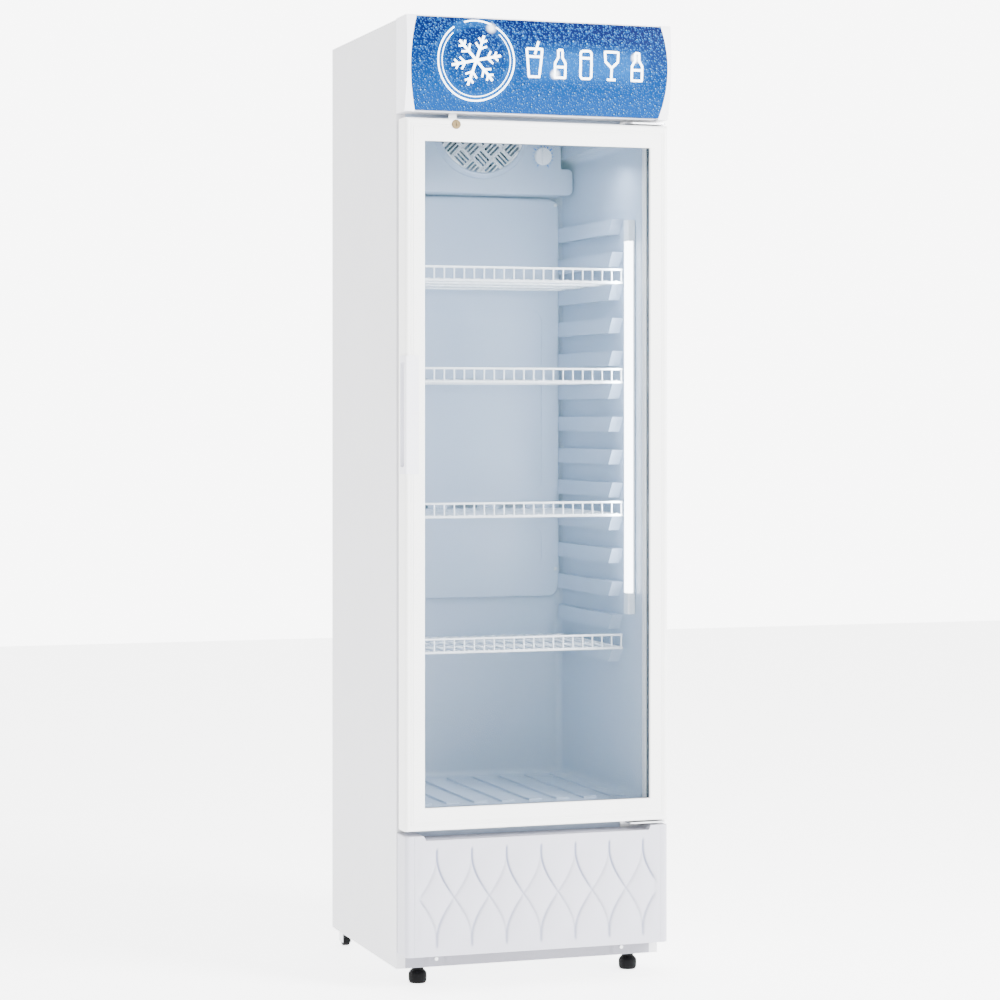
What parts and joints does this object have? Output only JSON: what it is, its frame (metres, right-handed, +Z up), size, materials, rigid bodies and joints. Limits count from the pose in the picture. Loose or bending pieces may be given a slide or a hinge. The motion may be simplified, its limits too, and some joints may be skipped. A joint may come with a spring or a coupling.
{
  "type": "glass-door drinks cooler",
  "caption": "Upright drinks cooler with a hinged glass door, lit canopy, wire shelves, fan-cooled cabinet and a refrigeration unit in the base.",
  "frame": {"origin": "on the floor under the middle of the cooler's outer box", "axes": "+Z up, -Y out of the door towards the user, +X to the user's right"},
  "size_m": [0.54, 0.545, 1.862],
  "materials": {
    "cabinet_white": "satin white powder-coated steel sheet",
    "foam": "rigid insulating foam",
    "liner_white": "satin white moulded plastic",
    "panel_white": "satin cool white moulded plastic",
    "canopy_white": "satin white moulded plastic",
    "sign_print": "lit translucent sheet printed with water drops on blue",
    "lamp_glow": "lit opal diffuser",
    "lamp_grey": "satin light grey plastic",
    "frame_white": "satin warm white extruded profile",
    "handle_white": "fine-grained white plastic",
    "door_glass": "clear toughened double glazing",
    "spacer_dark": "dark grey spacer bar",
    "seal_white": "matt light grey magnetic seal",
    "zinc_steel": "zinc-plated steel",
    "aluminium_fins": "bare aluminium",
    "copper": "bare copper tube",
    "compressor_black": "gloss black enamel",
    "black_plastic": "matt black moulded plastic",
    "black_rubber": "matt black rubber",
    "lock_nickel": "nickel-plated brass",
    "wire_white": "white dip-coated steel wire"
  },
  "bodies": {
    "cabinet": {"side_panel_left": "cabinet_white", "side_panel_right": "cabinet_white", "top_panel": "cabinet_white", "back_panel": "cabinet_white", "insulation": "foam", "inner_liner": "liner_white", "air_duct_cover": "liner_white", "evaporator_cover": "liner_white", "fan_grille": "liner_white", "evaporator_coil": "aluminium_fins", "evaporator_fan_motor": "zinc_steel", "thermostat_body": "black_plastic", "led_lamp_base": "lamp_grey", "led_lamp_lens": "lamp_glow", "base_plate": "zinc_steel", "plinth_bar": "cabinet_white", "plinth_brackets": "cabinet_white", "rear_grille": "zinc_steel", "cable_gland": "black_plastic", "compressor": "compressor_black", "compressor_mounts": "black_rubber", "condenser_coil": "aluminium_fins", "condenser_fan_motor": "zinc_steel", "evaporation_pan": "black_plastic", "drain_tube": "black_rubber", "refrigerant_pipes": "copper", "lower_front_panel": "panel_white", "hinge_plate_bottom": "zinc_steel", "hinge_plate_top": "zinc_steel", "lock_strike": "zinc_steel", "canopy_sign": "sign_print", "canopy_cap_left": "canopy_white", "canopy_cap_right": "canopy_white", "canopy_housing": "canopy_white", "canopy_light_tube": "lamp_glow", "roller_brackets": "zinc_steel", "case_screws": "zinc_steel"},
    "door": {"door_stile_left": "frame_white", "door_stile_right": "frame_white", "door_rail_top": "frame_white", "door_rail_bottom": "frame_white", "outer_glass": "door_glass", "inner_glass": "door_glass", "glass_spacer": "spacer_dark", "door_gasket": "seal_white", "door_handle": "handle_white", "hinge_bushes": "black_plastic", "lock_barrel": "lock_nickel"},
    "lock_plug": {"lock_plug": "lock_nickel"},
    "thermostat_knob": {"thermostat_knob": "liner_white"},
    "evaporator_fan_blade": {"evaporator_fan_blade": "black_plastic"},
    "condenser_fan_blade": {"condenser_fan_blade": "black_plastic"},
    "shelf_1": {"shelf_1": "wire_white"},
    "shelf_2": {"shelf_2": "wire_white"},
    "shelf_3": {"shelf_3": "wire_white"},
    "shelf_4": {"shelf_4": "wire_white"},
    "foot_left": {"foot_left": "black_plastic"},
    "foot_right": {"foot_right": "black_plastic"},
    "roller_left": {"roller_left": "black_plastic"},
    "roller_right": {"roller_right": "black_plastic"}
  },
  "joints": [
    {"name": "door_hinge", "type": "hinge", "parent": "cabinet", "child": "door", "pos_m": [0.254, -0.24, 0.986], "axis": [0, 0, 1], "range_deg": [0, 110]},
    {"name": "lock_turn", "type": "hinge", "parent": "door", "child": "lock_plug", "pos_m": [-0.168, -0.245, 1.656], "axis": [0, 1, 0], "range_deg": [0, 90]},
    {"name": "thermostat_turn", "type": "hinge", "parent": "cabinet", "child": "thermostat_knob", "pos_m": [0.153, 0.1525, 1.64], "axis": [0, 1, 0], "range_deg": [0, 270]},
    {"name": "evaporator_fan_spin", "type": "hinge", "parent": "cabinet", "child": "evaporator_fan_blade", "pos_m": [0.017, 0.1675, 1.697], "axis": [0, 1, 0], "continuous": true},
    {"name": "condenser_fan_spin", "type": "hinge", "parent": "cabinet", "child": "condenser_fan_blade", "pos_m": [-0.085, -0.089, 0.15], "axis": [0, 1, 0], "continuous": true},
    {"name": "shelf_1_slide", "type": "slide", "parent": "cabinet", "child": "shelf_1", "axis": [0, -1, 0], "range_m": [0, 0.05]},
    {"name": "shelf_2_slide", "type": "slide", "parent": "cabinet", "child": "shelf_2", "axis": [0, -1, 0], "range_m": [0, 0.05]},
    {"name": "shelf_3_slide", "type": "slide", "parent": "cabinet", "child": "shelf_3", "axis": [0, -1, 0], "range_m": [0, 0.05]},
    {"name": "shelf_4_slide", "type": "slide", "parent": "cabinet", "child": "shelf_4", "axis": [0, -1, 0], "range_m": [0, 0.05]},
    {"name": "foot_left_screw", "type": "slide", "parent": "cabinet", "child": "foot_left", "axis": [0, 0, 1], "range_m": [-0.012, 0]},
    {"name": "foot_right_screw", "type": "slide", "parent": "cabinet", "child": "foot_right", "axis": [0, 0, 1], "range_m": [-0.012, 0]},
    {"name": "roller_left_spin", "type": "hinge", "parent": "cabinet", "child": "roller_left", "pos_m": [-0.25, 0.2415, 0.015], "axis": [1, 0, 0], "continuous": true},
    {"name": "roller_right_spin", "type": "hinge", "parent": "cabinet", "child": "roller_right", "pos_m": [0.25, 0.2415, 0.015], "axis": [1, 0, 0], "continuous": true}
  ]
}
